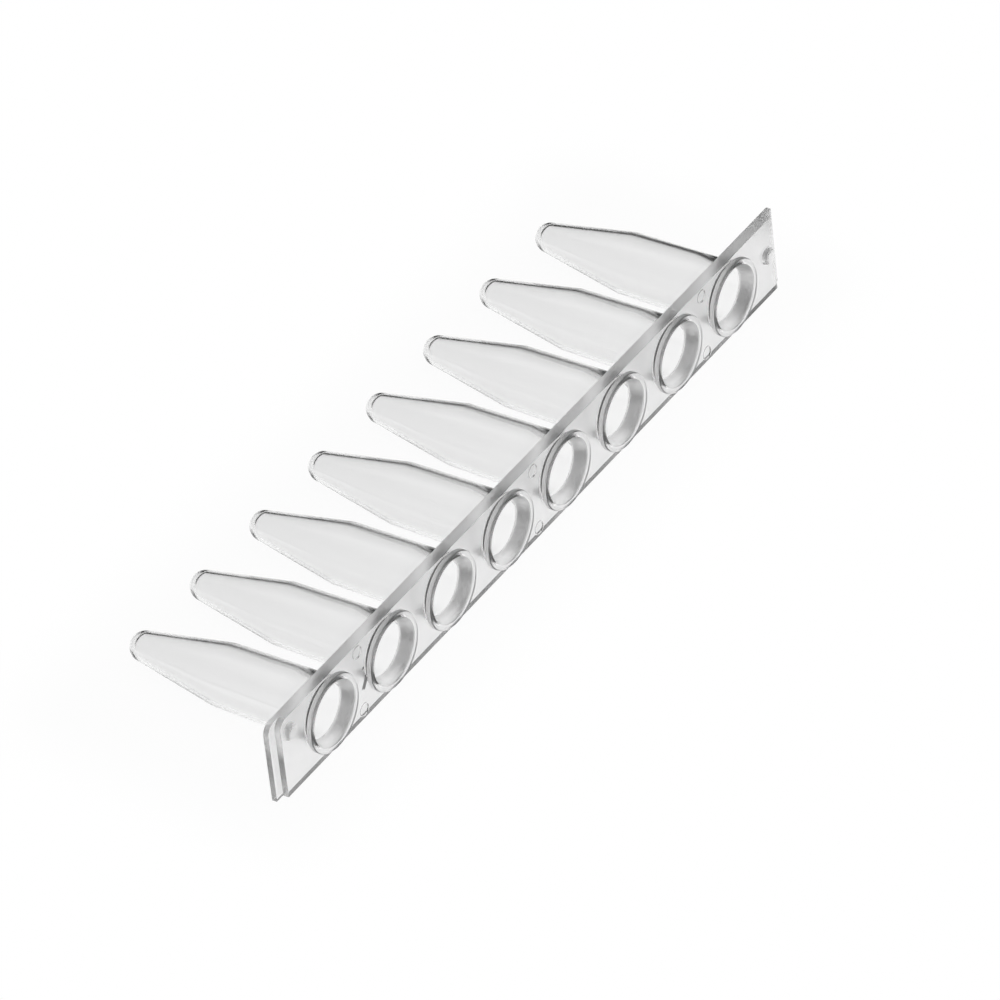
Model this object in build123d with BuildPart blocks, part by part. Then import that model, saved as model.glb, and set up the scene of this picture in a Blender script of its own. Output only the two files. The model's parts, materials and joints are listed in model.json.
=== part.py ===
"""A moulded strip of eight small reaction tubes, joined in line by a thin plate and lying on its side.

X runs along the strip and the mouths face -Y. A depth is measured into a tube along its axis, from
the top of the rims, and a rise is measured across the plate, up from the line of the tubes' axes.
"""

import os
from math import atan2, cos, radians, sin, tan

from build123d import *

# --- Driving dimensions, in millimetres and degrees ---

tube_count = 8
tube_pitch = 9.0

# The plate has a long back layer on the tubes' side and a shorter front layer on the mouths' side.
plate_width = 7.95
back_layer = 0.5
front_layer = 0.57
back_reach = 7.96  # past the axis of each end tube
front_reach = 7.03
corner_round = 1.0  # at the plate's upper corner by the first tube

# A flat rim stands up from the plate round each mouth.
rim_height = 0.4
rim_radius = 3.6
rim_round = 0.12

# Inside, the mouth narrows in a straight lead-in to the seat of a cap's plug.
mouth_radius = 3.05
mouth_depth = 1.25
seat_radius = 2.6
seat_length = 3.0
side_wall = 0.3
bottom_wall = 0.45

# Outside, a nearly straight body ends at a shoulder, and a cone runs on to the round end.
neck_radius = 2.95
neck_round = 0.4
shoulder_radius = 2.82
shoulder_depth = 11.15
tube_height = 20.7
cone_angle = 9.85  # between the cone's side and the tube's axis

# A nub stands on the front layer at each end, and shallow round ejector marks lie between some tubes.
nub_radius = 0.82
nub_height = 0.45
nub_round = 0.42
nub_reach = 5.85  # past the axis of each end tube
first_nub_rise = 2.4
last_nub_rise = 0.45
mark_radius = 0.6
mark_depth = 0.08
mark_rise = 3.1
mark_spacing = 27.0

# --- What follows from them ---

end_axis = tube_pitch * (tube_count - 1) / 2
front_face = rim_height
back_face = rim_height + front_layer + back_layer

# A full round closes the cone, outside and inside, and leaves only a small flat at its middle.
round_share = 0.98
cone_slope = tan(radians(cone_angle))
round_slope = tan(radians(45 + cone_angle / 2))
outer_end_radius = shoulder_radius - (tube_height - shoulder_depth) * cone_slope
outer_round = round_share * outer_end_radius * round_slope
inner_height = tube_height - bottom_wall
inner_shoulder = shoulder_radius - side_wall
inner_end_radius = inner_shoulder - (inner_height - shoulder_depth) * cone_slope
inner_round = round_share * inner_end_radius * round_slope

# The strip rests on the plate's lower back edge and on the tubes' shoulders, so the mouths tip up.
lie = atan2(plate_width / 2 - shoulder_radius, shoulder_depth - back_face)
mouth_z = cos(lie) * plate_width / 2 + sin(lie) * back_face
rim_forward = sin(lie) * (rim_radius - rim_round) + (1 - cos(lie)) * rim_round
end_back = cos(lie) * (tube_height - outer_round) + outer_round
mouth_plane = Plane(
    origin=(0, (rim_forward - end_back) / 2, mouth_z),
    x_dir=(1, 0, 0),
    z_dir=(0, -cos(lie), sin(lie)),
)
mouth_axis = Axis(mouth_plane.origin, mouth_plane.z_dir)


# --- One tube, with its axis on Z and its rim's top at Z = 0 ---

with BuildPart() as tube_outside:
    with BuildSketch(Plane.XZ):
        with BuildLine():
            neck_foot = (neck_radius + neck_round, -back_face)
            neck_top = (neck_radius, -back_face - neck_round)
            Polyline((0, -tube_height), (0, 0))
            FilletPolyline(
                (0, 0),
                (rim_radius, 0),
                (rim_radius, -front_face - front_layer),
                (neck_foot[0], -front_face - front_layer),
                neck_foot,
                radius=[rim_round, 0, 0],
            )
            RadiusArc(neck_foot, neck_top, -neck_round)
            FilletPolyline(
                neck_top,
                (shoulder_radius, -shoulder_depth),
                (outer_end_radius, -tube_height),
                (0, -tube_height),
                radius=[0, outer_round],
            )
        make_face()
    revolve(axis=Axis.Z)

with BuildPart() as tube_inside:
    with BuildSketch(Plane.XZ):
        with BuildLine():
            Polyline((0, -inner_height), (0, 0), (mouth_radius, 0))
            FilletPolyline(
                (mouth_radius, 0),
                (seat_radius, -mouth_depth),
                (seat_radius, -mouth_depth - seat_length),
                (inner_shoulder, -shoulder_depth),
                (inner_end_radius, -inner_height),
                (0, -inner_height),
                radius=[0, 0, 0, inner_round],
            )
        make_face()
    revolve(axis=Axis.Z)


# --- The whole strip, moulded in one piece ---

with BuildPart(mouth_plane) as tube_strip:
    for reach, near_depth, far_depth in (
        (front_reach, front_face, front_face + front_layer),
        (back_reach, front_face + front_layer, back_face),
    ):
        with BuildSketch(mouth_plane.offset(-far_depth)) as layer:
            Rectangle(2 * (end_axis + reach), plate_width)
            fillet(layer.vertices().group_by(Axis.Y)[-1].sort_by(Axis.X)[0], corner_round)
        extrude(amount=far_depth - near_depth)

    with GridLocations(tube_pitch, 0, tube_count, 1):
        add(tube_outside.part)

    nub_places = Locations(
        (-end_axis - nub_reach, first_nub_rise, -front_face),
        (end_axis + nub_reach, last_nub_rise, -front_face),
    )
    with nub_places:
        Cylinder(nub_radius, nub_height, align=(Align.CENTER, Align.CENTER, Align.MIN))
    fillet(tube_strip.edges(Select.LAST).group_by(mouth_axis)[-1], nub_round)

    with GridLocations(tube_pitch, 0, tube_count, 1):
        add(tube_inside.part, mode=Mode.SUBTRACT)

    with Locations((0, 0, -front_face)):
        with GridLocations(mark_spacing, 2 * mark_rise, 3, 2):
            Cylinder(mark_radius, 2 * mark_depth, mode=Mode.SUBTRACT)

tube_strip.part.label = "tube_strip"

os.makedirs("parts", exist_ok=True)
export_step(tube_strip.part, "parts/tube_strip.step")
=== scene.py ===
import json
from math import asin, cos, hypot, pi, radians, sin, tan

import bpy
from mathutils import Euler, Matrix, Vector


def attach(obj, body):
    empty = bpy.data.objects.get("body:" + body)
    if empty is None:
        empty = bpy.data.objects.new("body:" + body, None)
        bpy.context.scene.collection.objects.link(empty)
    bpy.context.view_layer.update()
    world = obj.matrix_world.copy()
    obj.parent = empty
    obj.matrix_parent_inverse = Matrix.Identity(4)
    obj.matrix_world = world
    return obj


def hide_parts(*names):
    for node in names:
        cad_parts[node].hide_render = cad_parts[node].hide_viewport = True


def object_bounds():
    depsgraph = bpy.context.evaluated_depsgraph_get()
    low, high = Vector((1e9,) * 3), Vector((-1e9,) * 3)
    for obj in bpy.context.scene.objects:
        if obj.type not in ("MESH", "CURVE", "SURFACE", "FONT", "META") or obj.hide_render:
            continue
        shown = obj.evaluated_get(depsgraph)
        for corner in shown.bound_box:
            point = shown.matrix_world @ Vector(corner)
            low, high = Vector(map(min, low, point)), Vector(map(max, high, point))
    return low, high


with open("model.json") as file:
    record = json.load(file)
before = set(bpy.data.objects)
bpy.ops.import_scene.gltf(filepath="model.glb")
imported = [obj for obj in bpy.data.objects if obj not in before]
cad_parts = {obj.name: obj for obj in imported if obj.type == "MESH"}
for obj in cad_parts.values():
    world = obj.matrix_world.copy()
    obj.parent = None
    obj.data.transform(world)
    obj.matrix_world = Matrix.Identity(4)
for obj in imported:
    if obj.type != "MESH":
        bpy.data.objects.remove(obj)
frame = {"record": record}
cad_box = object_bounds()


# The strip's frame. The mould sets every tube square to the plate, at the nine millimetre pitch
# of a well plate, so the line of the mouths and the way they point give the place of all the rest.
# Until it is whole, the strip is built with the mouths' plane at zero and facing up.

mm = 0.001
mouths = [mount for mount in frame["record"]["mounts"] if mount["kind"] == "bore"]
mouth_way = Vector(mouths[0]["axis"])
seat_middle = (Vector(mouths[0]["pos_m"]) + Vector(mouths[-1]["pos_m"])) / 2
mouth_depth = 1.25 * mm
seat_length = 3.0 * mm
strip_middle = seat_middle + mouth_way * (mouth_depth + seat_length / 2)
tip_up = asin(mouth_way.z)
tube_places = [Vector(mount["pos_m"]).x for mount in mouths]
end_axis = tube_places[-1]


# The tubes. Each is moulded thin round the core pin of its cavity, in clear polypropylene: a seat under
# the mouth, a nearly straight body, a shoulder, and a long cone with a round end. Its outside and its
# inside are turned forms, and the inside is cut out of the whole strip at the end.

ring_points = 144
rim_height = 0.4 * mm
rim_radius = 3.6 * mm
rim_round = 0.12 * mm
rim_round_steps = 4
front_layer = 0.57 * mm
back_layer = 0.5 * mm
back_face = rim_height + front_layer + back_layer
mouth_radius = 3.05 * mm
seat_radius = 2.6 * mm
side_wall = 0.3 * mm
bottom_wall = 0.45 * mm
neck_radius = 2.95 * mm
neck_round = 0.4 * mm
neck_round_steps = 8
neck_round_start = radians(95)
shoulder_radius = 2.82 * mm
shoulder_depth = 11.15 * mm
tube_height = 20.7 * mm
cone_angle = radians(9.85)
cone_end_steps = 16


def arc(centre, radius, start, stop, steps):
    """Points of (radius, height) on a round stretch, with the angles taken from the outward way."""
    angles = [start + (stop - start) * step / steps for step in range(steps + 1)]
    return [(centre[0] + radius * cos(a), centre[1] + radius * sin(a)) for a in angles]


def cone_end(top_radius, top_depth, end_depth):
    """The cone's last ring and the full round that closes it, down to the tube's axis."""
    corner = top_radius - (end_depth - top_depth) * tan(cone_angle)
    radius = corner * tan(pi / 4 + cone_angle / 2)
    return arc((0, radius - end_depth), radius, -cone_angle, -pi / 2, cone_end_steps)


def turned(name, outline):
    """A ring drawn out along an outline that starts and ends on the axis, and closed at both ends."""
    bpy.ops.object.select_all(action="DESELECT")
    radius, height = outline[1]
    bpy.ops.mesh.primitive_circle_add(
        vertices=ring_points, radius=radius, fill_type="NGON", location=(0, 0, height)
    )
    form = bpy.context.object
    form.name = name
    bpy.ops.object.transform_apply(location=True, rotation=True, scale=True)
    bpy.ops.object.mode_set(mode="EDIT")
    bpy.ops.mesh.region_to_loop()
    for next_radius, next_height in outline[2:-1]:
        bpy.ops.mesh.extrude_edges_move(TRANSFORM_OT_translate={"value": (0, 0, next_height - height)})
        scale = next_radius / radius
        bpy.ops.transform.resize(value=(scale, scale, 1), center_override=(0, 0, next_height))
        radius, height = next_radius, next_height
    bpy.ops.mesh.extrude_edges_move(TRANSFORM_OT_translate={"value": (0, 0, outline[-1][1] - height)})
    bpy.ops.mesh.merge(type="CENTER")
    bpy.ops.mesh.select_all(action="SELECT")
    bpy.ops.mesh.normals_make_consistent(inside=False)
    bpy.ops.object.mode_set(mode="OBJECT")
    return form


above = 0.1 * mm
neck_foot = neck_radius + neck_round
neck_round_middle = (neck_foot, -back_face - neck_round)
outside = [(0, 0)]
outside += arc((rim_radius - rim_round, -rim_round), rim_round, pi / 2, 0, rim_round_steps)
outside += [(rim_radius, -rim_height - front_layer), (neck_foot, -rim_height - front_layer)]
outside += arc(neck_round_middle, neck_round, neck_round_start, pi, neck_round_steps)
outside += [(shoulder_radius, -shoulder_depth)]
outside += cone_end(shoulder_radius, shoulder_depth, tube_height)
outside[-1] = (0, -tube_height)

inner_radius = shoulder_radius - side_wall
lead_in = (mouth_radius - seat_radius) / mouth_depth
inside = [(0, above), (mouth_radius + above * lead_in, above), (seat_radius, -mouth_depth)]
inside += [(seat_radius, -mouth_depth - seat_length), (inner_radius, -shoulder_depth)]
inside += cone_end(inner_radius, shoulder_depth, tube_height - bottom_wall)
inside[-1] = (0, bottom_wall - tube_height)

tube_outside = turned("tube_outside", outside)
tube_inside = turned("tube_inside", inside)


def copies(form, places):
    """The form copied to each place, each copy with its own mesh, and the copies joined."""
    made = []
    for place in places:
        copy = form.copy()
        copy.data = form.data.copy()
        bpy.context.collection.objects.link(copy)
        copy.location = place
        made.append(copy)
    bpy.ops.object.select_all(action="DESELECT")
    for copy in made:
        copy.select_set(True)
    bpy.context.view_layer.objects.active = made[0]
    bpy.ops.object.transform_apply(location=True, rotation=True, scale=True)
    bpy.ops.object.join()
    bpy.data.objects.remove(form)
    return bpy.context.object


tubes = copies(tube_outside, [(x, 0, 0) for x in tube_places])
bores = copies(tube_inside, [(x, 0, 0) for x in tube_places])


# The plate. It is moulded with the tubes, in two layers, the front one a little shorter. Its upper
# corner by the first tube is rounded, so that a finger feels which way the strip lies in its rack.

plate_width = 7.95 * mm
back_reach = 7.96 * mm
front_reach = 7.03 * mm
corner_round = 1.0 * mm
corner_round_steps = 12
edge_round = 0.05 * mm
edge_round_steps = 3
parting_step = 0.01 * mm
hair = mm / 100


def layer(name, reach, width, low, high):
    """One layer of the plate: a flat block with one upper corner and its front edges rounded."""
    bpy.ops.object.select_all(action="DESELECT")
    size = (2 * (end_axis + reach), width, high - low)
    bpy.ops.mesh.primitive_cube_add(size=1, location=(0, 0, (low + high) / 2), scale=size)
    block = bpy.context.object
    block.name = name
    bpy.ops.object.transform_apply(location=True, rotation=True, scale=True)
    for offset, steps, is_chosen in (
        (corner_round, corner_round_steps, lambda a, b: max(a.x, b.x) < 0 and min(a.y, b.y) > 0),
        (edge_round, edge_round_steps, lambda a, b: min(a.z, b.z) > high - hair),
    ):
        bpy.ops.object.mode_set(mode="EDIT")
        bpy.ops.mesh.select_mode(type="EDGE")
        bpy.ops.mesh.select_all(action="DESELECT")
        bpy.ops.object.mode_set(mode="OBJECT")
        for edge in block.data.edges:
            start, end = (block.data.vertices[v].co for v in edge.vertices)
            edge.select = is_chosen(start, end)
        bpy.ops.object.mode_set(mode="EDIT")
        bpy.ops.mesh.bevel(offset=offset, segments=steps, affect="EDGES")
        bpy.ops.object.mode_set(mode="OBJECT")
    return block


strip = layer("strip", back_reach, plate_width, -back_face, back_layer - back_face)
front = layer("front", front_reach, plate_width - parting_step, back_layer / 2 - back_face, -rim_height)


# The nubs and ejector marks. A round nub at each end keys a cap strip, and the pins that push the
# strip out of its mould leave shallow round marks between some of the tubes. With them the strip is
# whole, so all its forms are joined and cut here, and it is laid on its side.

nub_radius = 0.82 * mm
nub_height = 0.45 * mm
nub_round = 0.42 * mm
nub_round_steps = 8
nub_reach = 5.85 * mm
first_nub_rise = 2.4 * mm
last_nub_rise = 0.45 * mm
mark_radius = 0.6 * mm
mark_depth = 0.08 * mm
mark_rise = 3.1 * mm
mark_spacing = 27.0 * mm
sharp_angle = radians(30)

nub_top = nub_height - rim_height
nub_root = -rim_height - front_layer / 2
nub = [(0, nub_root), (nub_radius, nub_root)]
nub += arc((nub_radius - nub_round, nub_top - nub_round), nub_round, 0, pi / 2, nub_round_steps)
nub += [(0, nub_top)]
nub_form = turned("nub", nub)
nub_places = [(-end_axis - nub_reach, first_nub_rise, 0), (end_axis + nub_reach, last_nub_rise, 0)]
nubs = copies(nub_form, nub_places)

mark_floor = -rim_height - mark_depth
mark = [(0, mark_floor), (mark_radius, mark_floor), (mark_radius, 0), (0, 0)]
mark_form = turned("mark", mark)
mark_places = [(x, side * mark_rise, 0) for x in (-mark_spacing, 0, mark_spacing) for side in (-1, 1)]
marks = copies(mark_form, mark_places)

joining = [(form, "UNION") for form in (front, tubes, nubs)]
cutting = [(form, "DIFFERENCE") for form in (bores, marks)]
for form, operation in joining + cutting:
    bpy.ops.object.select_all(action="DESELECT")
    bpy.context.view_layer.objects.active = strip
    strip.select_set(True)
    cut = strip.modifiers.new("cut", "BOOLEAN")
    cut.operation = operation
    cut.object = form
    cut.solver = "EXACT"
    bpy.ops.object.modifier_apply(modifier="cut")
    bpy.data.objects.remove(form)

strip.rotation_euler = Euler((pi / 2 - tip_up, 0, 0))
strip.location = strip_middle
bpy.ops.object.transform_apply(location=True, rotation=True, scale=True)
bpy.ops.object.shade_smooth_by_angle(angle=sharp_angle)
flat_faces = strip.modifiers.new("flat_faces", "WEIGHTED_NORMAL")
flat_faces.keep_sharp = True
bpy.ops.object.modifier_apply(modifier="flat_faces")


# The plastic. The strip is moulded in one shot of clear polypropylene, which is never quite as clear
# as glass. Most of the mould is polished. The plate's back and upper edge, the rims' sides and the
# mouths' lead-ins come off duller steel, and a fleck of burnt plastic lies beside the second tube.


class Wire:
    """One output of a node. Sums written on it add Math nodes, and node() adds any other kind."""

    def __init__(self, tree, socket=None):
        self.tree = tree
        self.socket = socket

    def node(self, kind, settings, sockets, output=0):
        """A new node: its settings come first, then its sockets, each with a value or a wire."""
        node = self.tree.nodes.new(kind)
        for name, value in settings.items():
            setattr(node, name, value)
        for name, value in sockets.items():
            if isinstance(value, Wire):
                self.tree.links.new(value.socket, node.inputs[name])
            else:
                node.inputs[name].default_value = value
        return Wire(self.tree, node.outputs[output] if len(node.outputs) else None)

    def math(self, operation, *values):
        """A new Math node of one operation, on values or wires."""
        return self.node("ShaderNodeMath", {"operation": operation}, dict(enumerate(values)))

    def __add__(self, other):
        return self.math("ADD", self, other)

    def __radd__(self, other):
        return self.math("ADD", other, self)

    def __sub__(self, other):
        return self.math("SUBTRACT", self, other)

    def __rsub__(self, other):
        return self.math("SUBTRACT", other, self)

    def __mul__(self, other):
        return self.math("MULTIPLY", self, other)

    def __rmul__(self, other):
        return self.math("MULTIPLY", other, self)

    def __abs__(self):
        return self.math("ABSOLUTE", self)


def rise(value, low, high):
    """A soft step, from 0 where the value is low to 1 where it is high. With low above high it falls."""
    ends = {"Value": value, "From Min": low, "From Max": high}
    return value.node("ShaderNodeMapRange", {"interpolation_type": "SMOOTHSTEP"}, ends)


def blank_material(name):
    """A material with no nodes in it."""
    made = bpy.data.materials.new(name)
    made.use_nodes = True
    made.node_tree.nodes.clear()
    return made


plastic = blank_material("clear_plastic")
wire = Wire(plastic.node_tree)
place = wire.node("ShaderNodeTexCoord", {}, {}, "Object")
turn = {"Location": strip_middle, "Rotation": (pi / 2 - tip_up, 0, 0), "Scale": (mm, mm, mm)}
turn["Vector"] = place
place = wire.node("ShaderNodeMapping", {"vector_type": "TEXTURE"}, turn)

# From here to the shader, places and sizes are numbers of millimetres in the strip's own directions.
along, across, out = (wire.node("ShaderNodeSeparateXYZ", {}, {0: place}, way) for way in "XYZ")
pitch = (tube_places[1] - tube_places[0]) / mm
plate_half = plate_width / mm / 2
from_axis = along.math("PINGPONG", along - tube_places[0] / mm, pitch / 2)
from_axis = along.math("MAXIMUM", from_axis, abs(along) - end_axis / mm)
from_axis = along.math("SQRT", from_axis * from_axis + across * across)

# Where the mould is dull. Each of these is 1 on its own faces, with an edge that is only a hair wide.
fine = 0.01
upper_edge = rise(across, plate_half - 2 * fine, plate_half - fine)
behind = rise(abs(out + back_face / mm), 2 * fine, fine)
behind = behind * rise(from_axis, neck_radius / mm, neck_foot / mm)
lead_in_face = rise(from_axis, mouth_radius / mm + 2 * fine, mouth_radius / mm + fine)
lead_in_face = lead_in_face * rise(out, -mouth_depth / mm - fine, -mouth_depth / mm + fine)
rim_side_start = 3.2
rim_side_full = 3.3
rim_side = rise(from_axis, rim_side_start, rim_side_full)
rim_side = rim_side * rise(from_axis, rim_radius / mm + 6 * fine, rim_radius / mm + 2 * fine)
rim_side = rim_side * rise(out, -rim_height / mm - fine, -rim_height / mm + fine)

polished = 0.08
rim_dull = 0.3
back_dull = 0.35
lead_in_dull = 0.5
edge_dull = 0.9
dull = polished + behind * (back_dull - polished) + upper_edge * (edge_dull - polished)
dull = dull + lead_in_face * (lead_in_dull - polished) + rim_side * (rim_dull - polished)

# The front face has a fine raised line round each ejector mark, and a faint ripple all over it. Both
# stop short of the plate's edges and of the nubs.
front_margin = 0.06
front_margin_full = 0.3
nub_margin = 1.5
nub_margin_full = 2.0
nub_axis = (end_axis + nub_reach) / mm
on_front = rise(abs(out + (rim_height + mark_depth / 2) / mm), 8 * fine, 6 * fine)
on_front = on_front * rise(abs(across), plate_half - front_margin, plate_half - front_margin_full)
on_front = on_front * rise(abs(along), nub_axis - nub_margin, nub_axis - nub_margin_full)
from_mark = along.math("PINGPONG", along, mark_spacing / mm / 2)
beside_mark = abs(across) - mark_rise / mm
from_mark = along.math("SQRT", from_mark * from_mark + beside_mark * beside_mark)
pin_edge_width = 0.12
pin_edge_height = 0.03
pin_edge = rise(abs(from_mark - mark_radius / mm), pin_edge_width, 0.0)
ripple_scale = 1.6
ripple_detail = 2.0
ripple_height = 0.006
ripple_sockets = {"Vector": place, "Scale": ripple_scale, "Detail": ripple_detail}
ripple = wire.node("ShaderNodeTexNoise", {}, ripple_sockets)
relief = {"Distance": mm, "Height": on_front * (pin_edge * pin_edge_height + ripple * ripple_height)}
bumped = wire.node("ShaderNodeBump", {}, relief)
fleck_core = 0.7


def fleck(start, end, half_width):
    """A dark fleck of burnt plastic at the plate's face, drawn from start to end in millimetres."""
    middle = ((start[0] + end[0]) / 2, (start[1] + end[1]) / 2)
    length = hypot(end[0] - start[0], end[1] - start[1])
    lean = ((end[0] - start[0]) / length, (end[1] - start[1]) / length)
    down = (along - middle[0]) * lean[0] + (across - middle[1]) * lean[1]
    beside = (across - middle[1]) * lean[0] - (along - middle[0]) * lean[1]
    full_width = rise(abs(beside), half_width, half_width * fleck_core)
    full_length = rise(abs(down), length / 2, length / 3)
    return full_length * full_width


streak = fleck((-26.12, 0.02), (-26.9, -1.16), 0.3)
upper_dot = fleck((-26.47, 1.2), (-26.49, 0.88), 0.14)
lower_dot = fleck((-26.1, 0.17), (-26.44, 0.06), 0.13)
flecks = streak + upper_dot + lower_dot
clear = 0.95
burnt = 0.03
clearness = clear - on_front * flecks * (clear - burnt)
refraction = 1.49
see_through = 0.98
milkiness = 12.0
shader = wire.node(
    "ShaderNodeBsdfPrincipled",
    {},
    {
        "Base Color": wire.node("ShaderNodeCombineColor", {}, {0: clearness, 1: clearness, 2: clearness}),
        "Roughness": dull,
        "IOR": refraction,
        "Transmission Weight": see_through,
        "Normal": bumped,
    },
)
milk = wire.node("ShaderNodeVolumeAbsorption", {}, {"Color": (0, 0, 0, 1), "Density": milkiness})
wire.node("ShaderNodeOutputMaterial", {}, {"Surface": shader, "Volume": milk})
strip.data.materials.clear()
strip.data.materials.append(plastic)
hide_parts("tube_strip")
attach(strip, "root")


# The floor is white paper, with a little of the strip's shadow close round it. To the plastic's rays the
# paper shows white close by, and a painted shade, dark, where it runs on behind the strip; this painted
# shade draws the dark line that clear plastic has along its edges.

floor_radius = 600 * mm
floor_points = 128
paper_white = 0.95
white_reach = 4 * mm
shade_start = 12 * mm
shade_tone = 0.02
shadow_depth = 0.05
shadow_reach = 10 * mm

bpy.ops.object.select_all(action="DESELECT")
bpy.ops.mesh.primitive_circle_add(
    vertices=floor_points, radius=floor_radius, fill_type="NGON", location=(0, 0, 0)
)
floor = bpy.context.object
floor.name = "floor"
paper = blank_material("paper")
wire = Wire(paper.node_tree)
spot = wire.node("ShaderNodeTexCoord", {}, {}, "Object")
corner = Vector(cad_box[1])


def beyond(point):
    """How far a point on the floor lies past the strip's corner at the last tube, on its far side."""
    step = wire.node("ShaderNodeVectorMath", {"operation": "SUBTRACT"}, {0: point, 1: corner})
    step = wire.node("ShaderNodeVectorMath", {"operation": "MAXIMUM"}, {0: step, 1: (0, 0, 0)})
    return wire.node("ShaderNodeVectorMath", {"operation": "LENGTH"}, {0: step}, "Value")


# The paper's glow as the plastic sees it: white near the strip, and painted shade past its far corner.
glow_with_painted_shade = 1 - rise(beyond(spot), white_reach, shade_start) * (1 - shade_tone)
mirrored = wire.node("ShaderNodeVectorMath", {"operation": "ABSOLUTE"}, {0: spot})
shadow = shadow_depth * rise(beyond(mirrored), shadow_reach, 0)
by_camera = wire.node("ShaderNodeLightPath", {}, {}, "Is Camera Ray")
by_gloss = wire.node("ShaderNodeLightPath", {}, {}, "Is Glossy Ray")
by_plastic = wire.node("ShaderNodeLightPath", {}, {}, "Is Transmission Ray")
glow = wire.node("ShaderNodeEmission", {}, {"Strength": wire.math("MAXIMUM", glow_with_painted_shade, by_camera)})
lit = wire.node("ShaderNodeBsdfDiffuse", {}, {"Color": (paper_white, paper_white, paper_white, 1)})
seen = wire.math("MAXIMUM", by_gloss, by_plastic)
seen = wire.math("MAXIMUM", seen, by_camera * (1 - shadow))
paper_face = wire.node("ShaderNodeMixShader", {}, {0: seen, 1: lit, 2: glow})
wire.node("ShaderNodeOutputMaterial", {}, {"Surface": paper_face})
floor.data.materials.append(paper)


# The studio. Soft white light comes from above, from the sides and from behind the camera, and fades
# to a low dark band on the far side of the strip.

band_way = radians(70)
band_top = radians(55)
band_full_height = radians(35)
band_side = radians(90)
band_full_side = radians(50)

studio = bpy.data.worlds.new("studio")
bpy.context.scene.world = studio
studio.use_nodes = True
studio.node_tree.nodes.clear()
wire = Wire(studio.node_tree)
way = wire.node("ShaderNodeTexCoord", {}, {}, "Generated")
dark_way = (cos(band_way), sin(band_way), 0)
toward = wire.node("ShaderNodeVectorMath", {"operation": "DOT_PRODUCT"}, {0: way, 1: dark_way}, "Value")
height = wire.node("ShaderNodeSeparateXYZ", {}, {0: way}, "Z")
low = rise(height, sin(band_top), sin(band_full_height))
shade = low * rise(toward, cos(band_side), cos(band_full_side))
soft_light = 1 - shade * (1 - shade_tone)
by_camera = wire.node("ShaderNodeLightPath", {}, {}, "Is Camera Ray")
dim = wire.node("ShaderNodeBackground", {}, {"Strength": soft_light})
white = wire.node("ShaderNodeBackground", {}, {"Strength": 1.0})
sky = wire.node("ShaderNodeMixShader", {}, {0: by_camera, 1: dim, 2: white})
wire.node("ShaderNodeOutputWorld", {}, {"Surface": sky})


# The camera looks down the row from beyond its first tube. It stands a long way off, with a long
# lens, so that the far tubes look nearly as large as the near ones.

look_at = Vector((-1.7, -7.1, 4.0)) * mm
distance = 829.8 * mm
azimuth = radians(57.36)
elevation = radians(42.44)
roll = radians(0.55)
camera_data = bpy.data.cameras.new("camera")
camera_data.lens = 350.1
camera_data.sensor_width = 36
camera_data.clip_start = 0.01
camera = bpy.data.objects.new("camera", camera_data)
aim = Euler((pi / 2 - elevation, 0, -azimuth)).to_matrix().to_4x4() @ Matrix.Rotation(roll, 4, "Z")
camera.matrix_world = Matrix.Translation(look_at) @ aim @ Matrix.Translation((0, 0, distance))
bpy.context.collection.objects.link(camera)
bpy.context.scene.camera = camera
bpy.context.scene.view_settings.view_transform = "Standard"
